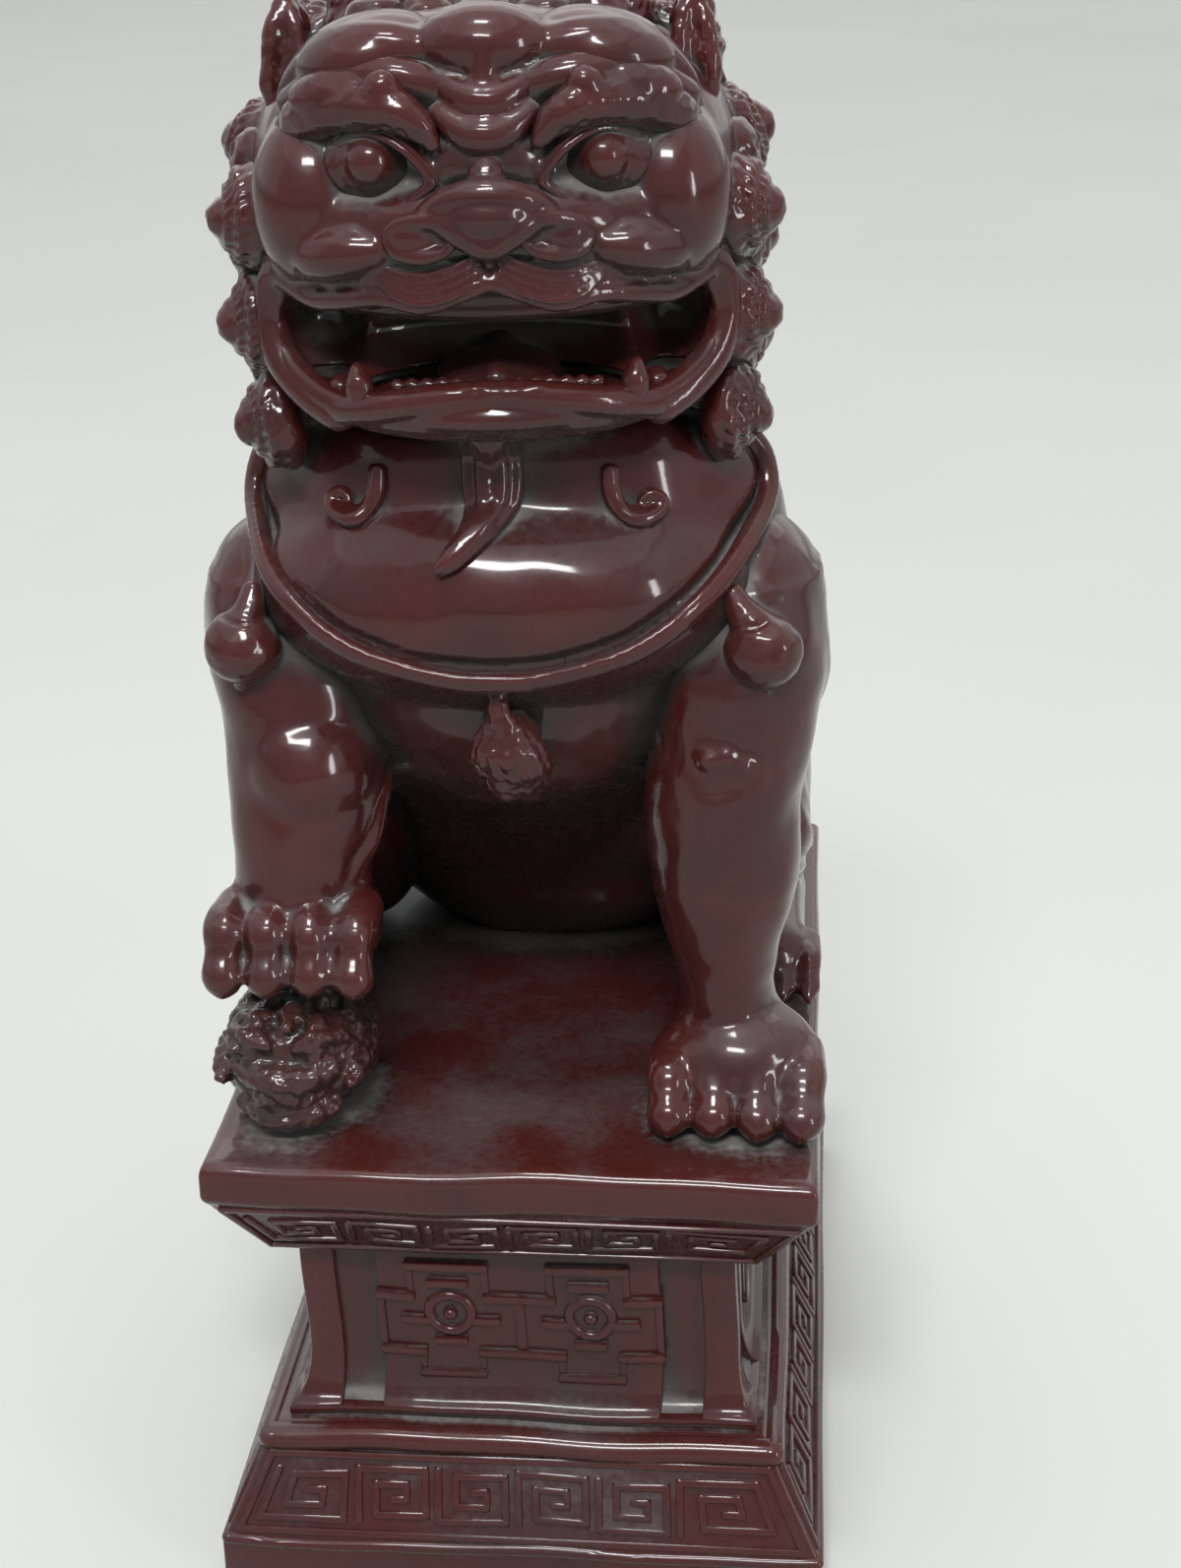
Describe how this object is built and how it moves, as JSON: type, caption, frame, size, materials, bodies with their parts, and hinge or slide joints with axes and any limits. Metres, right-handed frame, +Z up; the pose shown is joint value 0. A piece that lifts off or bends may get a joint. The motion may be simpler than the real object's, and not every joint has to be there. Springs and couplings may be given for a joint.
{
  "type": "guardian lion figurine",
  "caption": "Seated guardian lion holding a cub under its paw, on a stepped pedestal with meander borders, in dark lacquered resin; stands on a shelf as an ornament.",
  "frame": {"origin": "centre of the underside of the pedestal", "axes": "+Z up, the lion faces -Y, +X to the lion's left"},
  "size_m": [0.0888, 0.121, 0.2239],
  "materials": {
    "lacquer": "dark red-brown gloss lacquer over cast resin",
    "patina": "darker, dustier lacquer in the recesses"
  },
  "bodies": {
    "root": {"plinth": "lacquer", "waist": "lacquer", "dais": "lacquer", "body": "lacquer", "right_foreleg": "lacquer", "left_foreleg": "lacquer", "right_hind_leg": "lacquer", "left_hind_leg": "lacquer", "tail": "lacquer", "head": "lacquer", "lower_jaw": "lacquer", "tongue": "patina", "teeth": "patina", "nose": "lacquer", "forehead": "lacquer", "right_brow": "lacquer", "left_brow": "lacquer", "right_eye": "patina", "left_eye": "patina", "right_ear": "lacquer", "left_ear": "lacquer", "right_mane": "lacquer", "left_mane": "lacquer", "nape_mane": "lacquer", "crown_curls": "lacquer", "beard": "lacquer", "right_beard_curl": "lacquer", "left_beard_curl": "lacquer", "collar": "lacquer", "right_bell": "lacquer", "left_bell": "lacquer", "tassel": "lacquer", "cub": "patina"}
  },
  "joints": []
}
